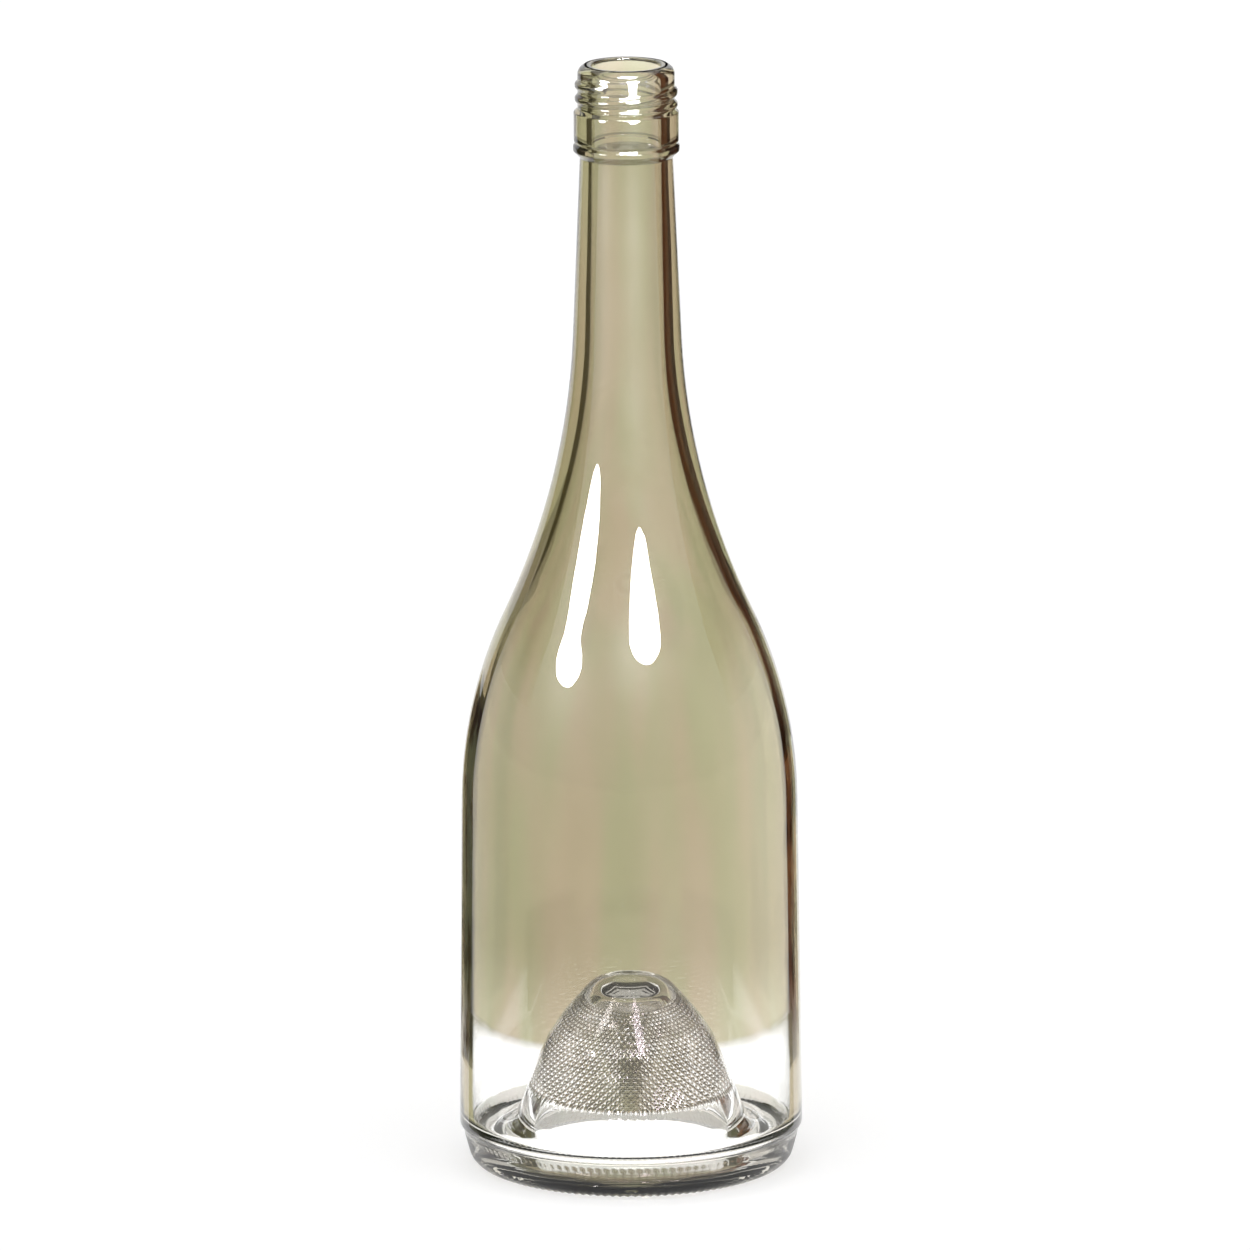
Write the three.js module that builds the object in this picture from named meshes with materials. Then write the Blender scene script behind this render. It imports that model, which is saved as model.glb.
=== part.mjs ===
// Burgundy wine bottle: one moulding of clear glass, with a screw-cap finish and a deep punt in its base.
// Millimetres, +Z up. The origin is the middle of the ring that the bottle stands on.
// The moulding is divided into the zones that a glassmaker names, which meet face to face.

import * as THREE from 'three';

// Heights, each measured from the top of the stretch below it
const HEEL_LINE_HEIGHT = 11; // mould line where the body wall turns in towards the base
const BODY_HEIGHT = 89.5;
const SHOULDER_HEIGHT = 126.5;
const NECK_HEIGHT = 48.2;
const BAND_UNDERCUT_HEIGHT = 1.8; // slope under the band, where a cap's skirt is rolled in
const BAND_HEIGHT = 10.4;
const BAND_STEP_HEIGHT = 1; // slope from the band in to the wall that carries the thread
const LIP_HEIGHT = 11.6;

// Outside diameters
const HEEL_CORNER_DIAMETER = 85.7; // where the heel's slope would meet the table
const HEEL_LINE_DIAMETER = 92.4;
const BODY_TOP_DIAMETER = 90.2;
const NECK_FOOT_DIAMETER = 29;
const NECK_TOP_DIAMETER = 24.8;
const BAND_FOOT_DIAMETER = 28.4;
const BAND_DIAMETER = 28;
const LIP_DIAMETER = 25.9;

// Outside forms
const HEEL_FILLET = 4;
const HEEL_LEDGE_DEPTH = 0.6; // step in, just under the heel line
const HEEL_LEDGE_HEIGHT = 0.8;
const SHOULDER_ARC_RADIUS = 122;
const BAND_FLARE_HEIGHT = 2; // the band's foot spreads over this height
const LIP_OUTER_FILLET = 2.5;
const LIP_INNER_FILLET = 0.6;

// Inside of the bottle
const BORE_DIAMETER = 18.5; // through the lip and the band
const BODY_WALL = 3.1;
const NECK_FOOT_WALL = 4.5;
const MOAT_FLOOR_HEIGHT = 9.5; // floor of the ring-shaped trough round the punt
const MOAT_FILLET = 5;
const HEEL_MARGIN = 1; // plain wall between the heel's curves and the zones above it

// Punt: a bell with a flat crown, a steep skirt and a wider cone between the two
const PUNT_HEIGHT = 50.5;
const PUNT_CROWN_DIAMETER = 19.6;
const PUNT_CONE_ANGLE = 41; // degrees from the axis
const PUNT_SKIRT_ANGLE = 21; // degrees from the axis
const PUNT_FOOT_DIAMETER = 64.4; // at the floor of the moat
const PUNT_WALL = 5.5;
const PUNT_CROWN_FILLET = 8;
const PUNT_WAIST_FILLET = 43;
const PUNT_FOOT_FILLET = 7;

// Underside
const BEARING_INNER_DIAMETER = 75.6; // the flat ring that touches the table ends here
const UNDERSIDE_RISE = 3.5; // from the bearing ring to the foot of the punt's hollow
const UNDERSIDE_FILLET = 8;

// Facets
const SIDES = 48;
const CHORD_ERROR = 0.06; // most that a curve's chord strays from the true arc

// Glass
const GLASS_COLOUR = 0xbdb497;
const GLASS_ROUGHNESS = 0.04;
const GLASS_OPACITY = 0.4;

// Levels where one zone ends and the next begins
const bodyTop = HEEL_LINE_HEIGHT + BODY_HEIGHT;
const moatTop = MOAT_FLOOR_HEIGHT + Math.max(MOAT_FILLET, PUNT_FOOT_FILLET);
const heelTop = Math.max(HEEL_LINE_HEIGHT, moatTop) + HEEL_MARGIN;
const shoulderTop = bodyTop + SHOULDER_HEIGHT;
const neckTop = shoulderTop + NECK_HEIGHT;
const bandFoot = neckTop + BAND_UNDERCUT_HEIGHT;
const bandTop = bandFoot + BAND_HEIGHT;
const threadFoot = bandTop + BAND_STEP_HEIGHT;
const mouth = threadFoot + LIP_HEIGHT;

const boreRadius = BORE_DIAMETER / 2;
const coneSpread = Math.tan(THREE.MathUtils.degToRad(PUNT_CONE_ANGLE));
const skirtSpread = Math.tan(THREE.MathUtils.degToRad(PUNT_SKIRT_ANGLE));

// A point of a section: its radius from the axis and its height.
function point(radius, height) {
  return new THREE.Vector2(radius, height);
}

// Direction of a vector, from minus to plus half a turn, so that it stays steady on both sides of level.
function angleOf(vector) {
  return Math.atan2(vector.y, vector.x);
}

// A corner of a section, with the fillet that rounds it.
function corner(radius, height, fillet = 0) {
  return { at: point(radius, height), fillet };
}

// Points along an arc, both ends included.
function arcPoints(centre, radius, startAngle, endAngle) {
  const largestTurn = 2 * Math.acos(1 - Math.min(1, CHORD_ERROR / radius));
  const steps = Math.ceil(Math.abs(endAngle - startAngle) / largestTurn);
  return Array.from({ length: steps + 1 }, (_, step) => {
    const angle = THREE.MathUtils.lerp(startAngle, endAngle, step / steps);
    return point(Math.cos(angle), Math.sin(angle)).multiplyScalar(radius).add(centre);
  });
}

// The arc that rounds one corner. It shares a straight run with the next corner if that is rounded too.
function filletPoints(before, here, after) {
  const room = (next) => next.at.distanceTo(here.at) / (next.fillet ? 2 : 1);
  const towardsBefore = before.at.clone().sub(here.at).normalize();
  const towardsAfter = after.at.clone().sub(here.at).normalize();
  const halfAngle = towardsBefore.angleTo(towardsAfter) / 2;
  const reach = Math.min(here.fillet / Math.tan(halfAngle), room(before), room(after));
  const radius = reach * Math.tan(halfAngle);
  const bisector = towardsBefore.clone().add(towardsAfter).normalize();
  const centre = here.at.clone().addScaledVector(bisector, radius / Math.sin(halfAngle));
  const middleAngle = angleOf(bisector.negate());
  const halfTurn = (Math.PI / 2 - halfAngle) * Math.sign(towardsAfter.cross(towardsBefore));
  return arcPoints(centre, radius, middleAngle - halfTurn, middleAngle + halfTurn);
}

// The points of a section that is given by its corners.
function outline(corners) {
  return corners.flatMap((here, i) => (
    here.fillet ? filletPoints(corners[i - 1], here, corners[i + 1]) : [here.at]
  ));
}

// A straight line of a section, leaning with the height, with the normal that points away from the axis.
function wallLine(foot, top) {
  const along = top.clone().sub(foot);
  return {
    foot,
    top,
    normal: point(along.y, -along.x).normalize(),
    radiusAt: (height) => foot.x + along.x * (height - foot.y) / along.y,
  };
}

// A shoulder: an arc that leaves the body's line, and a hollow arc that runs out into the neck's line.
// The first radius is chosen. The second is the only one that leaves all four stretches tangent.
function shoulderPoints(bodyLine, shoulderRadius, neckLine) {
  const shoulderCentre = bodyLine.top.clone().addScaledVector(bodyLine.normal, -shoulderRadius);
  const toNeck = neckLine.foot.clone().sub(shoulderCentre);
  const shortfall = shoulderRadius - toNeck.dot(neckLine.normal);
  const hollowRadius = (toNeck.lengthSq() - shoulderRadius ** 2) / (2 * shortfall);
  const hollowCentre = neckLine.foot.clone().addScaledVector(neckLine.normal, hollowRadius);
  const joinAngle = angleOf(hollowCentre.clone().sub(shoulderCentre));
  const lowerArc = arcPoints(shoulderCentre, shoulderRadius, angleOf(bodyLine.normal), joinAngle);
  const upperArc = arcPoints(
    hollowCentre, hollowRadius, joinAngle + Math.PI, angleOf(neckLine.normal) + Math.PI);
  return [...lowerArc, ...upperArc.slice(1)];
}

// Radius of the punt's skirt at a height. An inset moves it into the glass.
function skirtRadius(height, inset) {
  const wineSide = PUNT_FOOT_DIAMETER / 2 + (MOAT_FLOOR_HEIGHT - height) * skirtSpread;
  return wineSide - inset * Math.hypot(1, skirtSpread);
}

// The punt's corners from the axis down to a height on its skirt.
function bellCorners(footHeight, inset) {
  const crownHeight = PUNT_HEIGHT - inset;
  const crownRadius = PUNT_CROWN_DIAMETER / 2 - inset * (Math.hypot(1, coneSpread) - coneSpread);
  const skirtAtCrown = skirtRadius(crownHeight, inset);
  const coneDrop = (skirtAtCrown - crownRadius) / (coneSpread - skirtSpread);
  const waistHeight = crownHeight - coneDrop;
  return [
    corner(0, crownHeight),
    corner(crownRadius, crownHeight, PUNT_CROWN_FILLET - inset),
    corner(skirtRadius(waistHeight, inset), waistHeight, PUNT_WAIST_FILLET - inset),
    corner(skirtRadius(footHeight, inset), footHeight),
  ];
}

function glass() {
  return new THREE.MeshStandardMaterial({
    color: GLASS_COLOUR,
    roughness: GLASS_ROUGHNESS,
    metalness: 0,
    transparent: true,
    opacity: GLASS_OPACITY,
  });
}

// A zone turned from its section, which runs anticlockwise with the axis on its left.
function turned(name, section) {
  const geometry = new THREE.LatheGeometry(section, SIDES);
  geometry.rotateX(Math.PI / 2);
  const mesh = new THREE.Mesh(geometry, glass());
  mesh.name = name;
  return mesh;
}

// A ring-shaped zone between an outer and an inner line, both given from foot to top.
function turnedRing(name, outer, inner) {
  return turned(name, [...outer, ...inner.toReversed(), outer[0]]);
}

const outerBody = wallLine(point(HEEL_LINE_DIAMETER / 2, HEEL_LINE_HEIGHT), point(BODY_TOP_DIAMETER / 2, bodyTop));
const innerBody = wallLine(
  point(outerBody.foot.x - BODY_WALL, HEEL_LINE_HEIGHT), point(outerBody.top.x - BODY_WALL, bodyTop));
const outerNeck = wallLine(point(NECK_FOOT_DIAMETER / 2, shoulderTop), point(NECK_TOP_DIAMETER / 2, neckTop));
const innerNeck = wallLine(point(outerNeck.foot.x - NECK_FOOT_WALL, shoulderTop), point(boreRadius, neckTop));

// Heel, with the ring that the bottle stands on under it and the floor of the moat inside it.
function heel() {
  const hollowFoot = UNDERSIDE_RISE;
  const ledgeFoot = HEEL_LINE_HEIGHT - HEEL_LEDGE_HEIGHT;
  return turned('heel', outline([
    corner(skirtRadius(heelTop, PUNT_WALL), heelTop),
    corner(skirtRadius(hollowFoot, PUNT_WALL), hollowFoot, UNDERSIDE_FILLET),
    corner(BEARING_INNER_DIAMETER / 2, 0),
    corner(HEEL_CORNER_DIAMETER / 2, 0, HEEL_FILLET),
    corner(HEEL_LINE_DIAMETER / 2 - HEEL_LEDGE_DEPTH, ledgeFoot),
    corner(HEEL_LINE_DIAMETER / 2, HEEL_LINE_HEIGHT),
    corner(outerBody.radiusAt(heelTop), heelTop),
    corner(innerBody.radiusAt(heelTop), heelTop),
    corner(innerBody.radiusAt(MOAT_FLOOR_HEIGHT), MOAT_FLOOR_HEIGHT, MOAT_FILLET),
    corner(PUNT_FOOT_DIAMETER / 2, MOAT_FLOOR_HEIGHT, PUNT_FOOT_FILLET),
    corner(skirtRadius(heelTop, 0), heelTop),
    corner(skirtRadius(heelTop, PUNT_WALL), heelTop),
  ]));
}

// Punt, from the moat to its crown, with its hollow open below.
function punt() {
  const hollowSide = outline(bellCorners(heelTop, PUNT_WALL));
  const wineSide = outline(bellCorners(heelTop, 0));
  return turned('punt', [...hollowSide, ...wineSide.toReversed()]);
}

function bodyWall() {
  return turnedRing(
    'body_wall',
    [point(outerBody.radiusAt(heelTop), heelTop), outerBody.top],
    [point(innerBody.radiusAt(heelTop), heelTop), innerBody.top],
  );
}

function shoulder() {
  return turnedRing(
    'shoulder',
    shoulderPoints(outerBody, SHOULDER_ARC_RADIUS, outerNeck),
    shoulderPoints(innerBody, SHOULDER_ARC_RADIUS - BODY_WALL, innerNeck),
  );
}

function neck() {
  return turnedRing('neck', [outerNeck.foot, outerNeck.top], [innerNeck.foot, innerNeck.top]);
}

// Band under the thread, spread a little at its foot.
function retentionBand() {
  const outer = [
    outerNeck.top,
    point(BAND_FOOT_DIAMETER / 2, bandFoot),
    point(BAND_DIAMETER / 2, bandFoot + BAND_FLARE_HEIGHT),
    point(BAND_DIAMETER / 2, bandTop),
    point(LIP_DIAMETER / 2, threadFoot),
  ];
  return turnedRing('retention_band', outer, [point(boreRadius, neckTop), point(boreRadius, threadFoot)]);
}

// Lip, whose flat top seals against a cap's liner, and the wall under it that carries the thread.
function lip() {
  return turned('lip', outline([
    corner(LIP_DIAMETER / 2, threadFoot),
    corner(LIP_DIAMETER / 2, mouth, LIP_OUTER_FILLET),
    corner(boreRadius, mouth, LIP_INNER_FILLET),
    corner(boreRadius, threadFoot),
    corner(LIP_DIAMETER / 2, threadFoot),
  ]));
}

const bottle = new THREE.Group();
bottle.name = 'burgundy_bottle';
bottle.add(heel(), punt(), bodyWall(), shoulder(), neck(), retentionBand(), lip());

export default bottle;
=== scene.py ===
import math

import bpy
from mathutils import Euler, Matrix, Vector


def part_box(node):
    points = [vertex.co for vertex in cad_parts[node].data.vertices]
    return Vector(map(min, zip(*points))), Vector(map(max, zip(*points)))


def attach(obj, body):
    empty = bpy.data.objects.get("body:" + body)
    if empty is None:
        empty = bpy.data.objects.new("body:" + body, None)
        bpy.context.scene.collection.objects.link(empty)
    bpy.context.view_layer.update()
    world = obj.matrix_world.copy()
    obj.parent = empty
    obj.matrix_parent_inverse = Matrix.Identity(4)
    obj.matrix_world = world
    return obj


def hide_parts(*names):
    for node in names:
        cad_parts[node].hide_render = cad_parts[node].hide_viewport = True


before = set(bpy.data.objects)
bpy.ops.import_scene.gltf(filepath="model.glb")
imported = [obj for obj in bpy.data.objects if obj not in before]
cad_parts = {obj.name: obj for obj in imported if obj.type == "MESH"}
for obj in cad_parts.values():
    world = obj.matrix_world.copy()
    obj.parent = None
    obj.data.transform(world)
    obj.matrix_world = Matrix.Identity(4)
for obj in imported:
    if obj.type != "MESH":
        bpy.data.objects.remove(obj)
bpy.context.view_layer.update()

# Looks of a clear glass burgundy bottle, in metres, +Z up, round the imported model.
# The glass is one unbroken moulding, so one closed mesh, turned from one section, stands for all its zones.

MM = 0.001

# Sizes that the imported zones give
HEEL_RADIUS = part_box("heel")[1].x
HEEL_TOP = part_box("heel")[1].z
BODY_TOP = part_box("body_wall")[1].z
BODY_TOP_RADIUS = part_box("shoulder")[1].x
NECK_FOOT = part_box("neck")[0].z
NECK_FOOT_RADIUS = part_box("neck")[1].x
NECK_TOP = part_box("neck")[1].z
BAND_FOOT_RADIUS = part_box("retention_band")[1].x
THREAD_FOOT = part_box("lip")[0].z
LIP_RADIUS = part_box("lip")[1].x
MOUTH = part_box("lip")[1].z
CROWN_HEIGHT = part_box("punt")[1].z

# Outside of the moulding
HEEL_CORNER_RADIUS = 42.85 * MM
HEEL_FILLET = 4 * MM
HEEL_LINE_HEIGHT = 11 * MM
HEEL_LEDGE_DEPTH = 0.6 * MM
HEEL_LEDGE_HEIGHT = 0.8 * MM
SHOULDER_ARC_RADIUS = 122 * MM
NECK_TOP_RADIUS = 12.4 * MM
BAND_RADIUS = 14 * MM
BAND_UNDERCUT_HEIGHT = 1.8 * MM
BAND_FLARE_HEIGHT = 2 * MM
BAND_STEP_HEIGHT = 1 * MM
GROOVE_WIDTH = 1.4 * MM
GROOVE_DEPTH = 0.35 * MM
EDGE_FILLET = 0.5 * MM
LIP_OUTER_FILLET = 2.5 * MM
LIP_INNER_FILLET = 0.6 * MM

# Inside of the moulding
BORE_RADIUS = 9.25 * MM
RIM_RADIUS = (LIP_RADIUS + BORE_RADIUS) / 2
BODY_WALL = 3.1 * MM
NECK_FOOT_WALL = 4.5 * MM
MOAT_FLOOR_HEIGHT = 9.5 * MM
MOAT_FILLET = 5 * MM

# Punt and underside
PUNT_CROWN_RADIUS = 9.8 * MM
PUNT_CONE_SPREAD = math.tan(math.radians(41))
PUNT_SKIRT_SPREAD = math.tan(math.radians(21))
PUNT_FOOT_RADIUS = 32.2 * MM
PUNT_WALL = 5.5 * MM
PUNT_CROWN_FILLET = 8 * MM
PUNT_WAIST_FILLET = 43 * MM
PUNT_FOOT_FILLET = 7 * MM
BEARING_INNER_RADIUS = 37.8 * MM
UNDERSIDE_RISE = 3.5 * MM
UNDERSIDE_FILLET = 8 * MM

# Relief of the surface
COLUMNS = 256
SEAM_TURN = 0.25  # of a turn from +X, so that the seam lies straight behind
KNURL_COUNT = 64
KNURL_HEIGHT = 0.8 * MM
KNURL_DIAMOND = 2.2 * MM
KNURL_STEPS = 4  # points along a diamond
KNURL_TOP = 42.5 * MM
KNURL_FOOT = 19 * MM
VALLEY_REACH = 0.05  # of a diamond: a face whose middle is this near a valley is split along it
BAR_COUNT = 128
BAR_TOP = 8 * MM
BAR_DEPTH = 0.35 * MM
BAR_SHADE = 0.5  # of the shade in the knurl's valleys
THREAD_PITCH = 3.65 * MM
THREAD_TURNS = 2.4
THREAD_RUN_OUT = 0.12  # of a turn
THREAD_HEIGHT = 0.75 * MM
THREAD_BASE = 1.5 * MM
THREAD_CREST = 0.4 * MM
THREAD_START_HEIGHT = 286.6 * MM
THREAD_START_TURN = 0.3  # of a turn from +X
WAVE_HEIGHT = 0.1 * MM
WAVE_SCALE = 1.1
WAVE_DETAIL = 1.0
WAVE_RISE = 14.0  # noise to a metre of height, against 1 to a radian round the wall
WAVE_SEED = 7.0

# Spacing of the section's points
FINE = 0.3 * MM
MEDIUM = 3 * MM
COARSE = 6 * MM
ARC_STEP = math.radians(9)
LONG_ARC_STEP = math.radians(1.5)
SAME_PLACE = 0.001 * MM


# A section is a line of points: radius from the axis, and height

def point(radius, height):
    return Vector((radius, height))


def angle_of(vector):
    return math.atan2(vector.y, vector.x)


def arc_points(centre, radius, start, end, step=ARC_STEP):
    """Points along an arc, both ends included."""
    count = max(2, math.ceil(abs(end - start) / step))
    angles = [start + (end - start) * i / count for i in range(count + 1)]
    return [centre + radius * Vector((math.cos(angle), math.sin(angle))) for angle in angles]


def fillet_points(before, here, after, fillet):
    """The arc that rounds the corner between two straight runs."""
    back = (before - here).normalized()
    ahead = (after - here).normalized()
    half_angle = back.angle(ahead) / 2
    bisector = (back + ahead).normalized()
    centre = here + bisector * (fillet / math.sin(half_angle))
    middle = angle_of(-bisector)
    turning = back.x * ahead.y - back.y * ahead.x
    half_turn = math.copysign(math.pi / 2 - half_angle, -turning)
    return arc_points(centre, fillet, middle - half_turn, middle + half_turn)


def outline(*corners):
    """The points of a line that is given by its corners, each with the fillet that rounds it."""
    points = []
    for i, (radius, height, fillet) in enumerate(corners):
        here = point(radius, height)
        if fillet:
            points += fillet_points(point(*corners[i - 1][:2]), here, point(*corners[i + 1][:2]), fillet)
        else:
            points.append(here)
    return points


def shoulder_points(body, shoulder_radius, neck):
    """An arc that leaves the body's line and a hollow arc that runs out into the neck's, all tangent.
    Body and neck are each a foot and a top."""
    def outward(line):
        along = line[1] - line[0]
        return point(along.y, -along.x).normalized()

    centre = body[1] - outward(body) * shoulder_radius
    to_neck = neck[0] - centre
    shortfall = shoulder_radius - to_neck.dot(outward(neck))
    hollow_radius = (to_neck.length_squared - shoulder_radius ** 2) / (2 * shortfall)
    hollow_centre = neck[0] + outward(neck) * hollow_radius
    join = angle_of(hollow_centre - centre)
    lower = arc_points(centre, shoulder_radius, angle_of(outward(body)), join, LONG_ARC_STEP)
    upper = arc_points(
        hollow_centre, hollow_radius, join + math.pi, angle_of(outward(neck)) + math.pi, LONG_ARC_STEP)
    return lower + upper[1:]


def skirt_radius(height, inset):
    """Radius of the punt's skirt at a height. An inset moves it into the glass."""
    wine_side = PUNT_FOOT_RADIUS + (MOAT_FLOOR_HEIGHT - height) * PUNT_SKIRT_SPREAD
    return wine_side - inset * math.hypot(1, PUNT_SKIRT_SPREAD)


def bell_corners(inset):
    """The punt's crown and waist, from the axis outwards."""
    crown_height = CROWN_HEIGHT - inset
    crown_radius = PUNT_CROWN_RADIUS - inset * (math.hypot(1, PUNT_CONE_SPREAD) - PUNT_CONE_SPREAD)
    drop = (skirt_radius(crown_height, inset) - crown_radius) / (PUNT_CONE_SPREAD - PUNT_SKIRT_SPREAD)
    waist_height = crown_height - drop
    return [
        (0, crown_height, 0),
        (crown_radius, crown_height, PUNT_CROWN_FILLET - inset),
        (skirt_radius(waist_height, inset), waist_height, PUNT_WAIST_FILLET - inset),
    ]


def underside_points():
    """From the top of the hollow down to the inner edge of the bearing ring."""
    return outline(
        *bell_corners(PUNT_WALL),
        (skirt_radius(UNDERSIDE_RISE, PUNT_WALL), UNDERSIDE_RISE, UNDERSIDE_FILLET),
        (BEARING_INNER_RADIUS, 0, 0),
    )


def heel_points():
    """The bearing ring, and the heel up to the mould line over its ledge."""
    ledge_radius = HEEL_RADIUS - HEEL_LEDGE_DEPTH
    ledge_height = HEEL_LINE_HEIGHT - HEEL_LEDGE_HEIGHT
    return outline(
        (BEARING_INNER_RADIUS, 0, 0),
        (HEEL_CORNER_RADIUS, 0, HEEL_FILLET),
        (ledge_radius, ledge_height, EDGE_FILLET / 2),
        (HEEL_RADIUS, HEEL_LINE_HEIGHT, EDGE_FILLET / 2),
        (BODY_TOP_RADIUS, BODY_TOP, 0),
    )


def band_points():
    """Out from the neck over the bead at the band's foot, up the band and in to the wall of the lip."""
    band_foot = NECK_TOP + BAND_UNDERCUT_HEIGHT
    band_top = THREAD_FOOT - BAND_STEP_HEIGHT
    groove = band_foot + BAND_FLARE_HEIGHT
    return outline(
        (NECK_FOOT_RADIUS, NECK_FOOT, 0),
        (NECK_TOP_RADIUS, NECK_TOP, EDGE_FILLET),
        (BAND_FOOT_RADIUS, band_foot, EDGE_FILLET),
        (BAND_FOOT_RADIUS, groove - GROOVE_WIDTH / 2, EDGE_FILLET),
        (BAND_RADIUS - GROOVE_DEPTH, groove, EDGE_FILLET / 2),
        (BAND_RADIUS, groove + GROOVE_WIDTH / 2, EDGE_FILLET / 2),
        (BAND_RADIUS, band_top, EDGE_FILLET),
        (LIP_RADIUS, THREAD_FOOT, EDGE_FILLET),
        (LIP_RADIUS, MOUTH - LIP_OUTER_FILLET, 0),
    )


def rim_points():
    """Over the lip's outer edge to the middle of its flat top."""
    return outline(
        (LIP_RADIUS, THREAD_FOOT, 0),
        (LIP_RADIUS, MOUTH, LIP_OUTER_FILLET),
        (RIM_RADIUS, MOUTH, 0),
    )


def mouth_points():
    """From the middle of the lip's top down into the bore."""
    return outline(
        (RIM_RADIUS, MOUTH, 0),
        (BORE_RADIUS, MOUTH, LIP_INNER_FILLET),
        (BORE_RADIUS, THREAD_FOOT, 0),
    )


def inside_points():
    """Down the bore, the shoulder's inside and the wall, through the moat and up over the punt."""
    body = point(HEEL_RADIUS - BODY_WALL, HEEL_LINE_HEIGHT), point(BODY_TOP_RADIUS - BODY_WALL, BODY_TOP)
    neck = point(NECK_FOOT_RADIUS - NECK_FOOT_WALL, NECK_FOOT), point(BORE_RADIUS, NECK_TOP)
    shoulder = shoulder_points(body, SHOULDER_ARC_RADIUS - BODY_WALL, neck)
    taper = (body[0].x - body[1].x) / (body[1].y - body[0].y)
    moat_radius = body[0].x + taper * (body[0].y - MOAT_FLOOR_HEIGHT)
    base = outline(
        (*body[1], 0),
        (moat_radius, MOAT_FLOOR_HEIGHT, MOAT_FILLET),
        (PUNT_FOOT_RADIUS, MOAT_FLOOR_HEIGHT, PUNT_FOOT_FILLET),
        *reversed(bell_corners(0)),
    )
    return [point(BORE_RADIUS, THREAD_FOOT), neck[1], *reversed(shoulder), *base[1:]]


def cut(points, height):
    """A falling or rising line in two, with the point at the cut in both."""
    after = 1
    while (points[after - 1].y - height) * (points[after].y - height) > 0:
        after += 1
    start, end = points[after - 1], points[after]
    middle = start.lerp(end, (height - start.y) / (end.y - start.y))
    return points[:after] + [middle], [middle] + points[after:]


class Section:
    """The section of the glass, with the amount of each relief, and of the outer skin, at each point."""

    AMOUNTS = ("knurl", "bars", "thread", "waves", "skin")

    def __init__(self):
        self.points = []
        self.rows = []
        self.amounts = {name: [] for name in self.AMOUNTS}

    def run(self, points, spacing, **amounts):
        """Adds a line with its long straight runs divided, at most one spacing between points."""
        fresh = [points[0]]
        for start, end in zip(points, points[1:]):
            count = max(1, math.ceil((end - start).length / spacing))
            fresh += [start.lerp(end, i / count) for i in range(1, count + 1)]
        self.add(fresh, [0.0] * len(fresh), amounts)

    def knurled_run(self, points):
        """Adds a line divided evenly, in whole steps of a diamond."""
        step = KNURL_DIAMOND / KNURL_STEPS
        lengths = [0.0]
        for start, end in zip(points, points[1:]):
            lengths.append(lengths[-1] + (end - start).length)
        count = round(lengths[-1] / step)
        fresh = []
        for i in range(count + 1):
            reach = lengths[-1] * (i / count)
            after = next(k for k in range(1, len(points)) if lengths[k] >= reach)
            share = (reach - lengths[after - 1]) / (lengths[after] - lengths[after - 1])
            fresh.append(points[after - 1].lerp(points[after], share))
        self.add(fresh, [i / KNURL_STEPS for i in range(count + 1)], {"knurl": 1.0})

    def add(self, fresh, rows, amounts):
        """Adds points, without the first one if the line so far ends on it."""
        if self.points and (fresh[0] - self.points[-1]).length < SAME_PLACE:
            fresh, rows = fresh[1:], rows[1:]
        self.points += fresh
        self.rows += rows
        for name, values in self.amounts.items():
            values += [amounts.get(name, 0.0)] * len(fresh)

    def normals(self):
        """The direction out of the glass at each point."""
        last = len(self.points) - 1
        pairs = [(self.points[max(0, i - 1)], self.points[min(last, i + 1)]) for i in range(last + 1)]
        tangents = [(after - before).normalized() for before, after in pairs]
        return [point(tangent.y, -tangent.x) for tangent in tangents]

    def mesh(self, name):
        """The section as a line of vertices in the XZ plane, with its amounts as attributes."""
        mesh = bpy.data.meshes.new(name)
        mesh.from_pydata([(p.x, 0, p.y) for p in self.points], [], [])
        for attribute, values in (*self.amounts.items(), ("knurl_row", self.rows)):
            mesh.attributes.new(attribute, "FLOAT", "POINT").data.foreach_set("value", values)
        outward = [value for normal in self.normals() for value in (normal.x, 0, normal.y)]
        mesh.attributes.new("outward", "FLOAT_VECTOR", "POINT").data.foreach_set("vector", outward)
        return mesh


def bottle_section():
    """From the top of the hollow out and up the outside, and down the inside to the top of the punt."""
    section = Section()
    crown, below = cut(underside_points(), KNURL_TOP)
    knurled, foot = cut(below, KNURL_FOOT)
    section.run(crown, MEDIUM)
    section.knurled_run(knurled)
    section.run(foot, MEDIUM / 2)
    bearing, heel = cut(heel_points(), BAR_TOP)
    section.run(bearing, MEDIUM / 3, bars=1.0, skin=1.0)
    section.run(heel[:-1], MEDIUM / 3, skin=1.0)
    section.run(heel[-2:], COARSE, skin=1.0)
    body = point(HEEL_RADIUS, HEEL_LINE_HEIGHT), point(BODY_TOP_RADIUS, BODY_TOP)
    neck = point(NECK_FOOT_RADIUS, NECK_FOOT), point(NECK_TOP_RADIUS, NECK_TOP)
    section.run(shoulder_points(body, SHOULDER_ARC_RADIUS, neck), COARSE, skin=1.0)
    band = band_points()
    section.run(band[:2], COARSE, skin=1.0)
    section.run(band[1:-1], MEDIUM / 3, skin=1.0)
    section.run(band[-2:], FINE, thread=1.0, skin=1.0)
    section.run(rim_points()[1:], COARSE, skin=1.0)
    section.run(mouth_points(), COARSE)
    wall, floor_and_punt = cut(inside_points(), HEEL_TOP)
    section.run(wall, COARSE, waves=1.0)
    section.run(floor_and_punt, COARSE)
    return section


# Node trees

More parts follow.
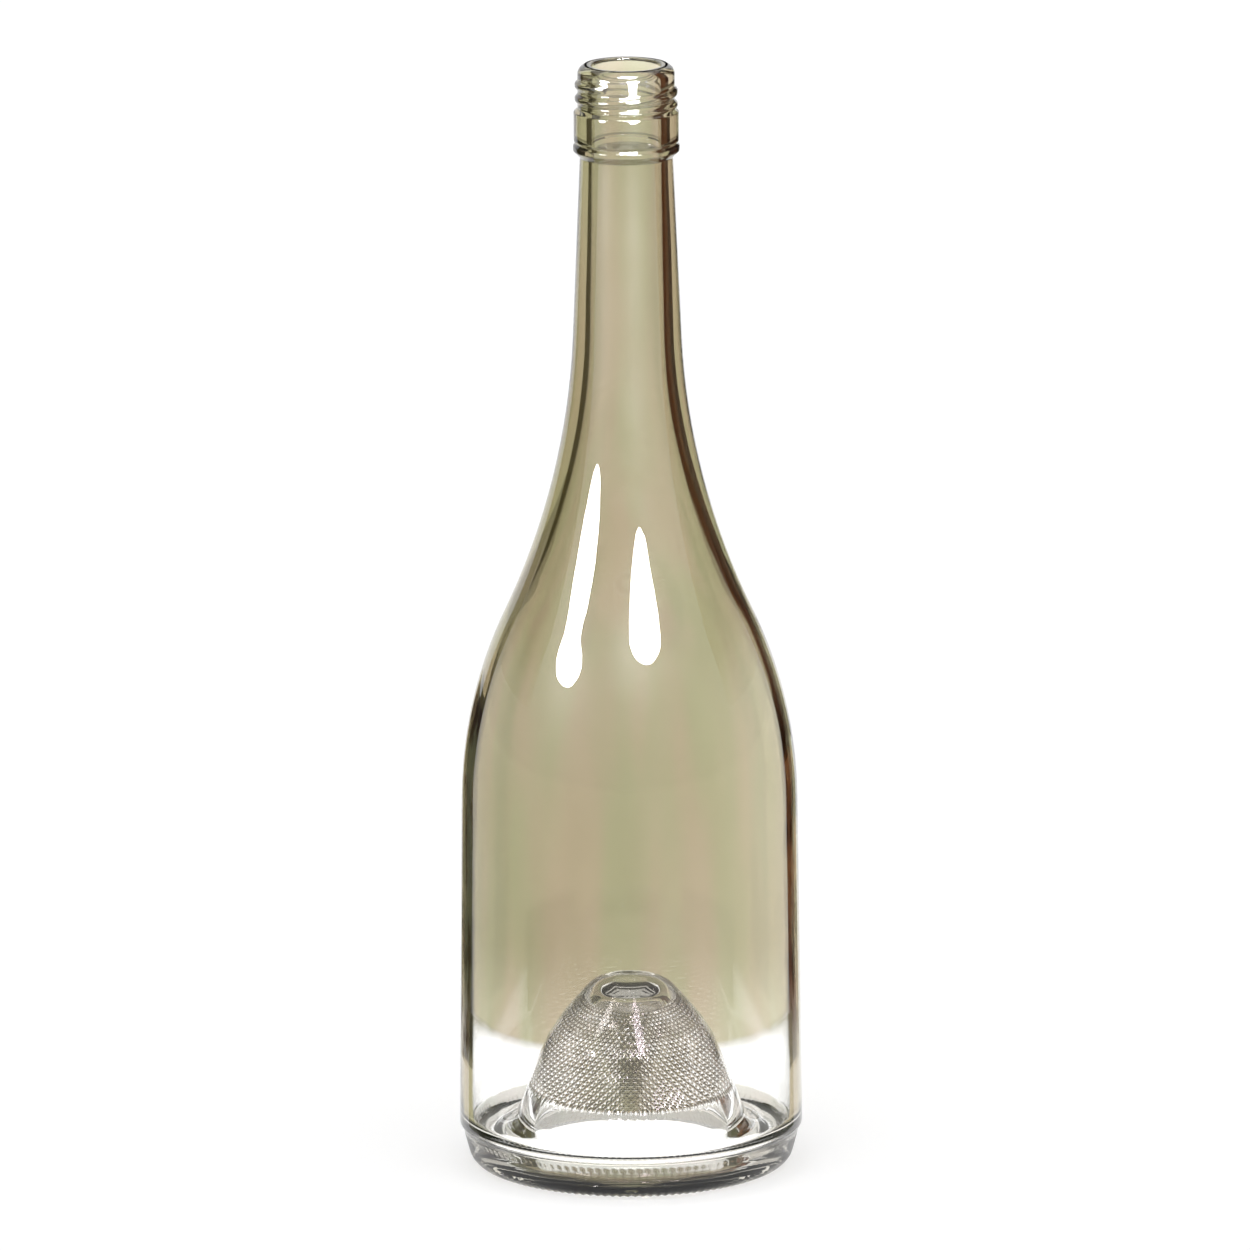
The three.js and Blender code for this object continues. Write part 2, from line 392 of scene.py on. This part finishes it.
class Nodes:
    """Adds nodes to a tree. A value passed in is a socket to link or a constant to set."""

    def __init__(self, tree):
        self.tree = tree

    def feed(self, socket, value):
        if isinstance(value, bpy.types.NodeSocket):
            self.tree.links.new(value, socket)
        else:
            socket.default_value = value

    def add(self, kind, inputs=None, **settings):
        node = self.tree.nodes.new(kind)
        for name, value in settings.items():
            setattr(node, name, value)
        for key, value in (inputs or {}).items():
            self.feed(node.inputs[key], value)
        return node

    def math(self, operation, *values):
        node = self.add("ShaderNodeMath", operation=operation)
        for socket, value in zip(node.inputs, values):
            self.feed(socket, value)
        return node.outputs[0]

    def smooth_step(self, value, low, high):
        """0 at the low value, 1 at the high one, and a smooth rise between them."""
        inputs = {"Value": value, "From Min": low, "From Max": high}
        return self.add("ShaderNodeMapRange", inputs, interpolation_type="SMOOTHSTEP").outputs["Result"]

    def between(self, share, first, second):
        """The first number at a share of 0, and the second at 1."""
        return self.math("MULTIPLY_ADD", share, self.math("SUBTRACT", second, first), first)

    def blend(self, share, first, second):
        """The first colour at a share of 0, and the second at 1, on the Mix node's sockets for colours."""
        return self.add("ShaderNodeMix", {0: share, 6: first, 7: second}, data_type="RGBA").outputs[2]

    def noise(self, place, stretch, scale, detail):
        """Noise that is drawn out along the axis where the stretch is under 1."""
        drawn = self.add("ShaderNodeMapping", {"Vector": place, "Scale": (1.0, 1.0, stretch)})
        inputs = {"Vector": drawn.outputs[0], "Scale": scale, "Detail": detail}
        return self.add("ShaderNodeTexNoise", inputs).outputs[0]

    def attribute(self, name, data_type="FLOAT"):
        """A named attribute, in a tree that makes geometry."""
        return self.add("GeometryNodeInputNamedAttribute", {"Name": name}, data_type=data_type).outputs[0]

    def mark(self, name):
        """A named attribute, in a material."""
        return self.add("ShaderNodeAttribute", attribute_name=name).outputs["Fac"]

    def mirrored(self):
        """1 for light that a surface has mirrored on its way, and 0 for other light."""
        return self.math("MINIMUM", self.add("ShaderNodeLightPath").outputs["Glossy Depth"], 1.0)


def empty_material(name):
    """A new material, and its nodes to add to."""
    material = bpy.data.materials.new(name)
    material.use_nodes = True
    material.node_tree.nodes.clear()
    return material, Nodes(material.node_tree)


# Lathe

LATHE_INPUTS = {
    "Columns": ("NodeSocketInt", COLUMNS),
    "Knurl Count": ("NodeSocketInt", KNURL_COUNT),
    "Knurl Height": ("NodeSocketFloat", KNURL_HEIGHT),
    "Bar Count": ("NodeSocketInt", BAR_COUNT),
    "Bar Depth": ("NodeSocketFloat", BAR_DEPTH),
    "Thread Pitch": ("NodeSocketFloat", THREAD_PITCH),
    "Thread Turns": ("NodeSocketFloat", THREAD_TURNS),
    "Thread Height": ("NodeSocketFloat", THREAD_HEIGHT),
    "Thread Start Height": ("NodeSocketFloat", THREAD_START_HEIGHT),
    "Wave Height": ("NodeSocketFloat", WAVE_HEIGHT),
    "Wave Seed": ("NodeSocketFloat", WAVE_SEED),
}


def knurl_valley(nodes, given, turn, row):
    """Depth between pyramids on a diamond pattern, 1 in a valley, and a phase that is whole on a valley."""
    across = nodes.math("MULTIPLY", turn, given["Knurl Count"])
    rising = nodes.math("ADD", across, row)
    falling = nodes.math("SUBTRACT", across, row)
    pyramid = nodes.math(
        "MINIMUM", nodes.math("PINGPONG", rising, 0.5), nodes.math("PINGPONG", falling, 0.5))
    return nodes.math("MULTIPLY_ADD", pyramid, -2.0, 1.0), rising


def bar_groove(nodes, given, turn):
    """Depth of the grooves across the bearing ring, 1 in a groove and 0 on the ridges between them."""
    wave = nodes.math("PINGPONG", nodes.math("MULTIPLY", turn, given["Bar Count"]), 0.5)
    return nodes.math("MULTIPLY_ADD", wave, -2.0, 1.0)


def thread_relief(nodes, given, turn, height):
    """A right-hand ridge that rises by one pitch in each turn and runs out at both ends."""
    start = nodes.math("SUBTRACT", turn, THREAD_START_TURN)
    rise = nodes.math("SUBTRACT", height, given["Thread Start Height"])
    phase = nodes.math("SUBTRACT", nodes.math("DIVIDE", rise, given["Thread Pitch"]), start)
    whole = nodes.math("ROUND", phase)
    off_crest = nodes.math("ABSOLUTE", nodes.math("SUBTRACT", phase, whole))
    distance = nodes.math("MULTIPLY", off_crest, given["Thread Pitch"])
    ridge = nodes.smooth_step(distance, THREAD_BASE, THREAD_CREST)
    along = nodes.math("ADD", start, whole)
    run_in = nodes.smooth_step(along, 0.0, THREAD_RUN_OUT)
    run_out = nodes.smooth_step(
        nodes.math("SUBTRACT", given["Thread Turns"], along), 0.0, THREAD_RUN_OUT)
    ends = nodes.math("MULTIPLY", run_in, run_out)
    return nodes.math("MULTIPLY", nodes.math("MULTIPLY", ridge, ends), given["Thread Height"])


def wave_relief(nodes, given, across, height):
    """Slow unevenness of the blown inner wall."""
    rise = nodes.math("MULTIPLY", height, WAVE_RISE)
    place = nodes.add("ShaderNodeCombineXYZ", {0: across[0], 1: across[1], 2: rise}).outputs[0]
    inputs = {"Vector": place, "W": given["Wave Seed"], "Scale": WAVE_SCALE, "Detail": WAVE_DETAIL}
    noise = nodes.add("ShaderNodeTexNoise", inputs, noise_dimensions="4D")
    centred = nodes.math("SUBTRACT", noise.outputs[0], 0.5)
    return nodes.math("MULTIPLY", centred, nodes.math("MULTIPLY", given["Wave Height"], 2.0))


def turned_place(nodes, place, outward, relief, across):
    """A point of the section, raised by its relief and turned to its column."""
    lift = nodes.add("ShaderNodeVectorMath", {0: outward, "Scale": relief}, operation="SCALE")
    raised = nodes.add("ShaderNodeVectorMath", {0: place, 1: lift.outputs[0]}, operation="ADD")
    split = nodes.add("ShaderNodeSeparateXYZ", {0: raised.outputs[0]}).outputs
    return nodes.add("ShaderNodeCombineXYZ", {
        0: nodes.math("MULTIPLY", split["X"], across[0]),
        1: nodes.math("MULTIPLY", split["X"], across[1]),
        2: split["Z"],
    }).outputs[0]


def closed_glass(nodes, turned, marks):
    """The turned grid with its marks, split along the knurl's valleys, with its seam and poles closed."""
    for name, value in marks.items():
        inputs = {"Geometry": turned, "Name": name, "Value": value}
        turned = nodes.add("GeometryNodeStoreNamedAttribute", inputs, data_type="FLOAT").outputs[0]
    off_valley = nodes.math("PINGPONG", nodes.attribute("valley_phase"), 0.5)
    inputs = {"Mesh": turned, "Selection": nodes.math("LESS_THAN", off_valley, VALLEY_REACH)}
    along = nodes.add("GeometryNodeTriangulate", inputs, quad_method="FIXED")
    across = nodes.add("GeometryNodeTriangulate", {"Mesh": along.outputs[0]}, quad_method="FIXED_ALTERNATE")
    inputs = {"Geometry": across.outputs[0], "Distance": SAME_PLACE}
    closed = nodes.add("GeometryNodeMergeByDistance", inputs)
    plain = nodes.math("LESS_THAN", nodes.attribute("knurled"), 0.5)
    inputs = {"Geometry": closed.outputs[0], "Shade Smooth": plain}
    return nodes.add("GeometryNodeSetShadeSmooth", inputs).outputs[0]


def lathe_sockets(tree):
    """The lathe's inputs, by name, and its output."""
    kinds = {name: kind for name, (kind, _) in LATHE_INPUTS.items()}
    for name, kind in {"Section": "NodeSocketGeometry", **kinds, "Glass": "NodeSocketMaterial"}.items():
        tree.interface.new_socket(name, in_out="INPUT", socket_type=kind)
    tree.interface.new_socket("Bottle", in_out="OUTPUT", socket_type="NodeSocketGeometry")


def lathe_tree():
    """Turns a section round the axis with its relief, and closes the seam and the poles."""
    tree = bpy.data.node_groups.new("bottle_lathe", "GeometryNodeTree")
    lathe_sockets(tree)
    nodes = Nodes(tree)
    given = nodes.add("NodeGroupInput").outputs
    section = given["Section"]
    count = nodes.add("GeometryNodeAttributeDomainSize", {"Geometry": section}).outputs["Point Count"]
    columns = nodes.math("ADD", given["Columns"], 1)
    grid = nodes.add("GeometryNodeMeshGrid", {"Vertices X": columns, "Vertices Y": count})
    index = nodes.add("GeometryNodeInputIndex").outputs[0]
    row = nodes.math("FLOORED_MODULO", index, count)
    column = nodes.math("FLOOR", nodes.math("DIVIDE", nodes.math("ADD", index, 0.5), count))

    def sampled(value, data_type="FLOAT"):
        """A value of the section, at the row of each point of the grid."""
        inputs = {"Geometry": section, "Value": value, "Index": row}
        return nodes.add("GeometryNodeSampleIndex", inputs, data_type=data_type).outputs[0]

    place = sampled(nodes.add("GeometryNodeInputPosition").outputs[0], "FLOAT_VECTOR")
    outward = sampled(nodes.attribute("outward", "FLOAT_VECTOR"), "FLOAT_VECTOR")
    amounts = {name: sampled(nodes.attribute(name)) for name in (*Section.AMOUNTS, "knurl_row")}
    height = nodes.add("ShaderNodeSeparateXYZ", {0: place}).outputs["Z"]
    turn = nodes.math("ADD", nodes.math("DIVIDE", column, given["Columns"]), SEAM_TURN)
    angle = nodes.math("MULTIPLY", turn, math.tau)
    across = nodes.math("COSINE", angle), nodes.math("SINE", angle)

    valley, phase = knurl_valley(nodes, given, turn, amounts["knurl_row"])
    groove = bar_groove(nodes, given, turn)
    reliefs = {
        "knurl": nodes.math("MULTIPLY", nodes.math("SUBTRACT", 1.0, valley), given["Knurl Height"]),
        "bars": nodes.math("MULTIPLY", groove, nodes.math("MULTIPLY", given["Bar Depth"], -1.0)),
        "thread": thread_relief(nodes, given, turn, height),
        "waves": wave_relief(nodes, given, across, height),
    }
    relief = 0.0
    for name, value in reliefs.items():
        relief = nodes.math("MULTIPLY_ADD", value, amounts[name], relief)
    depth = nodes.math("MULTIPLY", valley, amounts["knurl"])
    depth = nodes.math("MULTIPLY_ADD", groove, nodes.math("MULTIPLY", amounts["bars"], BAR_SHADE), depth)

    position = turned_place(nodes, place, outward, relief, across)
    turned = nodes.add("GeometryNodeSetPosition", {"Geometry": grid.outputs[0], "Position": position})
    marks = {"valley_phase": phase, "knurled": amounts["knurl"], "skin": amounts["skin"], "depth": depth}
    closed = closed_glass(nodes, turned.outputs[0], marks)
    realized = nodes.add("GeometryNodeRealizeInstances", {"Geometry": closed}).outputs[0]
    glazed = nodes.add("GeometryNodeSetMaterial", {"Geometry": realized, "Material": given["Glass"]})
    nodes.add("NodeGroupOutput", {"Bottle": glazed.outputs[0]})
    return tree


def glass_bottle(glass):
    """The whole moulding as one closed mesh."""
    maker = bpy.data.objects.new("bottle_maker", bottle_section().mesh("bottle_section"))
    bpy.context.collection.objects.link(maker)
    modifier = maker.modifiers.new("lathe", "NODES")
    modifier.node_group = lathe_tree()
    identifiers = {item.name: item.identifier for item in modifier.node_group.interface.items_tree}
    for name, (_, value) in LATHE_INPUTS.items():
        modifier[identifiers[name]] = value
    modifier[identifiers["Glass"]] = glass
    made = maker.evaluated_get(bpy.context.evaluated_depsgraph_get())
    bottle = bpy.data.objects.new("glass_bottle", bpy.data.meshes.new_from_object(made))
    bpy.context.collection.objects.link(bottle)
    bpy.data.objects.remove(maker)
    return bottle


# Glass

GLASS_COOL = (0.243, 0.234, 0.128, 1.0)
GLASS_WARM = (0.282, 0.229, 0.145, 1.0)
GLASS_CLEAR = (0.995, 0.995, 0.99, 1.0)
VALLEY_SHADE = (0.09, 0.055, 0.025, 1.0)
GLASS_IOR = 1.52
ENTERING_SHARE = 0.4  # of the wall's colour, on the side where light enters the bottle's glass
LEAVING_SHARE = 1.6
SIDE_SHADE = 0.15  # painted side shade: more colour at the left edge, and less at the right one
NECK_THICKENING = 0.05
LIP_THINNING = 0.4
MOTTLE = 0.4
MOTTLE_NOISE = {"stretch": 0.3, "scale": 35.0, "detail": 2.0}
STREAK_NOISE = {"stretch": 0.15, "scale": 60.0, "detail": 2.0}
STREAK_EDGES = 0.35, 0.65

# The clear foot: heights where the colour sets in over it
ENTERING_EDGES = 40 * MM, 70 * MM
LEAVING_EDGES = 36 * MM, 42 * MM
FOOT_SLOPE = 0.5  # the foot's edge falls by this share of the way to the front or the back
FRONT_EDGE = 12 * MM  # in front of this, light that was mirrored inside leaves with colour
HEEL_TONE = 0.75

SHADE_EDGES = 0.25, 0.8  # depth of a valley where its shade begins and is full
SMEAR_ROUGHNESS = 0.02
SMEAR_NOISE = {"stretch": 0.5, "scale": 80.0, "detail": 4.0}
FILM_WEIGHT = 0.3
FILM_ROUGHNESS = 0.4
FILM_NOISE = {"stretch": 0.6, "scale": 25.0, "detail": 3.0}
FILM_EDGES = 0.3, 0.65
RIPPLE_HEIGHT = 0.05 * MM
RIPPLE_NOISE = {"stretch": 0.4, "scale": 120.0, "detail": 1.0}


def tone_amount_with_side_shade(nodes, place, across, height):
    """How much glass colours the light, about 1 on the body, with painted shade that deepens it towards the
    left edge and pales it towards the right.
    """
    # painted side shade: the colour deepens towards the left edge and pales towards the right
    tone_strength = nodes.math("MULTIPLY_ADD", across, -SIDE_SHADE / HEEL_RADIUS, 1.0 - MOTTLE / 2)
    tone_strength = nodes.math("MULTIPLY_ADD", nodes.noise(place, **MOTTLE_NOISE), MOTTLE, tone_strength)
    neck = nodes.smooth_step(height, BODY_TOP, NECK_FOOT)
    tone_strength = nodes.math("MULTIPLY_ADD", neck, NECK_THICKENING, tone_strength)
    lip = nodes.smooth_step(height, THREAD_FOOT, MOUTH)
    return nodes.math("MULTIPLY_ADD", lip, -LIP_THINNING, tone_strength)


def coloured_share(nodes, along, height, leaving):
    """How much of the colour shows: all of it over the clear foot, none in it, and some in the heel."""
    over_foot = nodes.math("MULTIPLY_ADD", nodes.math("ABSOLUTE", along), FOOT_SLOPE, height)
    entering_share = nodes.smooth_step(height, *ENTERING_EDGES)
    leaving_share = nodes.smooth_step(over_foot, *LEAVING_EDGES)
    share = nodes.between(leaving, entering_share, leaving_share)
    in_front = nodes.smooth_step(along, FRONT_EDGE, 0.0)
    share = nodes.math("MAXIMUM", share, nodes.math("MULTIPLY", nodes.mirrored(), in_front))
    over_heel = nodes.smooth_step(height, HEEL_LINE_HEIGHT - EDGE_FILLET, HEEL_LINE_HEIGHT + EDGE_FILLET)
    return nodes.between(over_heel, HEEL_TONE, share)


def glass_tone(nodes, place, skin):
    """Faint olive colour of the outer skin. Most of it is laid on the side that light leaves by."""
    across, along, height = nodes.add("ShaderNodeSeparateXYZ", {0: place}).outputs
    leaving = nodes.add("ShaderNodeNewGeometry").outputs["Backfacing"]
    streaks = nodes.smooth_step(nodes.noise(place, **STREAK_NOISE), *STREAK_EDGES)
    tone = nodes.blend(streaks, GLASS_COOL, GLASS_WARM)
    side_share = nodes.between(leaving, ENTERING_SHARE, LEAVING_SHARE)
    amount = nodes.math("MULTIPLY", tone_amount_with_side_shade(nodes, place, across, height), side_share)
    deepened = nodes.add("ShaderNodeGamma", {"Color": tone, "Gamma": amount}).outputs[0]
    coloured = nodes.math("MULTIPLY", skin, coloured_share(nodes, along, height, leaving))
    return nodes.blend(coloured, GLASS_CLEAR, deepened)


def glass_material():
    """Clear glass with a faint olive tone, none of it in the foot, shade in the valleys of its relief
    and a hazy film on the outside."""
    material, nodes = empty_material("clear_glass")
    place = nodes.add("ShaderNodeTexCoord").outputs["Object"]
    skin = nodes.mark("skin")
    shade = nodes.smooth_step(nodes.mark("depth"), *SHADE_EDGES)
    smears = nodes.noise(place, **SMEAR_NOISE)
    film = nodes.smooth_step(nodes.noise(place, **FILM_NOISE), *FILM_EDGES)
    film = nodes.math("MULTIPLY", film, FILM_WEIGHT)
    ripples = nodes.noise(place, **RIPPLE_NOISE)
    rippled = nodes.add("ShaderNodeBump", {"Distance": RIPPLE_HEIGHT, "Height": ripples}).outputs[0]
    shader = nodes.add("ShaderNodeBsdfPrincipled", {
        "Base Color": nodes.blend(shade, glass_tone(nodes, place, skin), VALLEY_SHADE),
        "Metallic": 0.0,
        "Roughness": nodes.math("MULTIPLY", smears, SMEAR_ROUGHNESS),
        "IOR": GLASS_IOR,
        "Normal": rippled,
        "Transmission Weight": 1.0,
        "Coat Weight": nodes.math("MULTIPLY", film, skin),
        "Coat Roughness": FILM_ROUGHNESS,
    })
    nodes.add("ShaderNodeOutputMaterial", {"Surface": shader.outputs[0]})
    return material


# Studio

CAMERA_DISTANCE = 3.395
CAMERA_HEIGHT = 0.9426
CAMERA_LENS = 375.4
CAMERA_TARGET = Vector((-1.0 * MM, 0, 147.5 * MM))
CAMERA_ROLL = math.radians(-0.286)
FLOOR_SIZE = 12.0
FLOOR_COLOUR = (0.5, 0.5, 0.5, 1.0)
FLOOR_GLOW = 0.55
FLOOR_GLOW_IN_GLASS = 0.72


def studio_camera():
    data = bpy.data.cameras.new("photo_camera")
    data.lens = CAMERA_LENS
    data.sensor_width = 36
    data.clip_end = 100
    camera = bpy.data.objects.new("photo_camera", data)
    camera.location = (0, -CAMERA_DISTANCE, CAMERA_HEIGHT)
    aim = (CAMERA_TARGET - camera.location).to_track_quat("-Z", "Y")
    camera.rotation_mode = "QUATERNION"
    camera.rotation_quaternion = aim @ Euler((0, 0, CAMERA_ROLL)).to_quaternion()
    bpy.context.collection.objects.link(camera)
    bpy.context.scene.camera = camera


def white_world():
    world = bpy.data.worlds.new("white_studio")
    world.use_nodes = True
    world.node_tree.nodes["Background"].inputs["Color"].default_value = (1, 1, 1, 1)
    bpy.context.scene.world = world


def floor_material():
    """Pale matt floor that shows white to the camera and in the glass, and keeps a soft shadow."""
    material, nodes = empty_material("pale_floor")
    path = nodes.add("ShaderNodeLightPath").outputs
    seen = nodes.math("MAXIMUM", path["Is Camera Ray"], path["Is Glossy Ray"])
    strength = nodes.math("MULTIPLY", seen, FLOOR_GLOW)
    strength = nodes.math("MULTIPLY_ADD", path["Is Transmission Ray"], FLOOR_GLOW_IN_GLASS, strength)
    matt = nodes.add("ShaderNodeBsdfDiffuse", {"Color": FLOOR_COLOUR})
    glow = nodes.add("ShaderNodeEmission", {"Strength": strength})
    both = nodes.add("ShaderNodeAddShader", {0: matt.outputs[0], 1: glow.outputs[0]})
    nodes.add("ShaderNodeOutputMaterial", {"Surface": both.outputs[0]})
    return material


def pale_floor():
    half = FLOOR_SIZE / 2
    corners = [(-half, -half, 0), (half, -half, 0), (half, half, 0), (-half, half, 0)]
    mesh = bpy.data.meshes.new("floor")
    mesh.from_pydata(corners, [], [(0, 1, 2, 3)])
    mesh.materials.append(floor_material())
    plane = bpy.data.objects.new("floor", mesh)
    bpy.context.collection.objects.link(plane)


# Lamps, seen only as highlights

LAMP_RADIANCE = 60
LAMP_COLOUR = (1.0, 1.0, 1.0)
LAMP_COLOUR_THROUGH_GLASS = (0.6, 0.6, 1.0)


def soft_lamp(name, azimuth, elevation, distance, width, height, through_glass=False):
    """An oval lamp that shows on the outside of the glass, or else only on what is seen through it.
    Azimuth is to the right of the camera's side."""
    data = bpy.data.lights.new(name, "AREA")
    data.shape = "ELLIPSE"
    data.size = width
    data.size_y = height
    data.energy = LAMP_RADIANCE * math.pi * (math.pi / 4 * width * height)
    data.color = LAMP_COLOUR_THROUGH_GLASS if through_glass else LAMP_COLOUR
    lamp = bpy.data.objects.new(name, data)
    turn = math.radians(azimuth)
    rise = math.radians(elevation)
    direction = Vector((math.sin(turn) * math.cos(rise), -math.cos(turn) * math.cos(rise), math.sin(rise)))
    lamp.location = CAMERA_TARGET + direction * distance
    lamp.rotation_mode = "QUATERNION"
    lamp.rotation_quaternion = (-direction).to_track_quat("-Z", "Y")
    lamp.visible_camera = False
    lamp.visible_diffuse = False
    lamp.visible_glossy = not through_glass
    lamp.visible_transmission = through_glass
    bpy.context.collection.objects.link(lamp)


def studio_lamps():
    soft_lamp("left_lamp", azimuth=-51.7, elevation=24, distance=0.311, width=0.12, height=0.077)
    soft_lamp("front_lamp", azimuth=15.7, elevation=35.7, distance=0.234, width=0.109, height=0.084)
    soft_lamp("top_lamp", azimuth=5, elevation=56, distance=0.8, width=0.48, height=0.4)
    soft_lamp(
        "bell_lamp", azimuth=18, elevation=52, distance=1.3, width=0.26, height=0.75, through_glass=True)
    soft_lamp(
        "bell_side_lamp", azimuth=-66, elevation=50, distance=1.3, width=0.2, height=0.5, through_glass=True)


# Boards that the edges of the glass mirror

BOARD_RADIUS = 0.13
BOARD_STEPS = 16
BOARD_TOP = 0.42
LOW_BOARD_RADIUS = 0.075
LOW_BOARD_TOP = 0.033
RIGHT_FOOT_TOP = 0.096
LEFT_FOOT_TOP = 0.12
FOOT_FADE_TOP = 0.03
RIGHT_FADE = 0.13, 0.16
BROWN_HEIGHT = 0.15
SIDE_FADE = 0.15, 0.19
PATCH_NOISE = {"stretch": 1.0, "scale": 50.0, "detail": 3.0}
PATCH_EDGES = 0.45, 0.6
BOARD_WHITE = (1.0, 1.0, 1.0, 1.0)
BOARD_ORANGE = (0.45, 0.2, 0.1, 1.0)
BOARD_BROWN = (0.3, 0.13, 0.06, 1.0)
BOARD_DARK = (0.05, 0.02, 0.01, 1.0)
BOARD_OLIVE = (0.22, 0.19, 0.08, 1.0)
BOARD_GREEN = (0.3, 0.31, 0.18, 1.0)


def board_material(name, tones, patches):
    """Matt colours that follow the height, broken up by patches of another colour where one is given,
    for mirrored light alone."""
    material, nodes = empty_material(name)
    place = nodes.add("ShaderNodeTexCoord").outputs["Object"]
    height = nodes.add("ShaderNodeSeparateXYZ", {0: place}).outputs["Z"]
    colour = tones[0][1]
    for (low, _), (high, tone) in zip(tones, tones[1:]):
        colour = nodes.blend(nodes.smooth_step(height, low, high), colour, tone)
    if patches:
        spread = nodes.smooth_step(nodes.noise(place, **PATCH_NOISE), *PATCH_EDGES)
        colour = nodes.blend(spread, colour, patches)
    matt = nodes.add("ShaderNodeBsdfDiffuse", {"Color": colour}).outputs[0]
    nothing = nodes.add("ShaderNodeBsdfTransparent").outputs[0]
    seen = nodes.add("ShaderNodeMixShader", {0: nodes.mirrored(), 1: nothing, 2: matt})
    nodes.add("ShaderNodeOutputMaterial", {"Surface": seen.outputs[0]})
    return material


def dark_board(name, first, last, tones, top=BOARD_TOP, patches=None, radius=BOARD_RADIUS):
    """A curved board round the bottle, between two angles to the right of straight behind.
    Each tone is a height and the colour there, from the board's foot upwards."""
    angles = [math.radians(first + (last - first) * i / BOARD_STEPS) for i in range(BOARD_STEPS + 1)]
    ring = [(math.sin(angle) * radius, math.cos(angle) * radius) for angle in angles]
    corners = [(x, y, z) for x, y in ring for z in (tones[0][0], top)]
    faces = [(2 * i, 2 * i + 2, 2 * i + 3, 2 * i + 1) for i in range(BOARD_STEPS)]
    mesh = bpy.data.meshes.new(name)
    mesh.from_pydata(corners, [], faces)
    mesh.materials.append(board_material(name, tones, patches))
    board = bpy.data.objects.new(name, mesh)
    board.visible_camera = False
    board.visible_diffuse = False
    board.visible_shadow = False
    bpy.context.collection.objects.link(board)


def fade(heights, *colours):
    """A tone at each of two heights."""
    return list(zip(heights, colours))


def studio_boards():
    """Browns on the right and olives on the left, with white low down, where the foot is clear. Nearer
    the glass, two low boards keep the floor out of its mirror images."""
    right_foot = fade((0.0, FOOT_FADE_TOP), BOARD_WHITE, BOARD_ORANGE)
    right_end = fade((RIGHT_FOOT_TOP, BROWN_HEIGHT), BOARD_DARK, BOARD_BROWN)
    left_foot = fade((0.0, FOOT_FADE_TOP), BOARD_WHITE, BOARD_GREEN)
    dark_board("right_foot_board", 40, 62, right_foot, RIGHT_FOOT_TOP, BOARD_DARK)
    dark_board("right_edge_board", 36, 46, [(RIGHT_FOOT_TOP, BOARD_DARK)])
    dark_board("right_board", 28, 36, fade(RIGHT_FADE, BOARD_WHITE, BOARD_DARK))
    dark_board("right_end_board", 46, 62, right_end)
    dark_board("right_side_board", 62, 110, fade(SIDE_FADE, BOARD_WHITE, BOARD_BROWN))
    dark_board("left_foot_board", -62, -34, left_foot, LEFT_FOOT_TOP, BOARD_DARK)
    dark_board("left_board", -62, -50, [(LEFT_FOOT_TOP, BOARD_OLIVE)])
    dark_board("left_side_board", -110, -62, fade(SIDE_FADE, BOARD_WHITE, BOARD_OLIVE))
    for name, first, last in (("right_low_board", 73, 130), ("left_low_board", -130, -73)):
        dark_board(name, first, last, [(0.0, BOARD_GREEN)], LOW_BOARD_TOP, radius=LOW_BOARD_RADIUS)


def studio():
    studio_camera()
    white_world()
    pale_floor()
    studio_lamps()
    studio_boards()
    bpy.context.scene.view_settings.view_transform = "Standard"


studio()
bottle = glass_bottle(glass_material())
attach(bottle, "root")
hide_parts("heel", "punt", "body_wall", "shoulder", "neck", "retention_band", "lip")
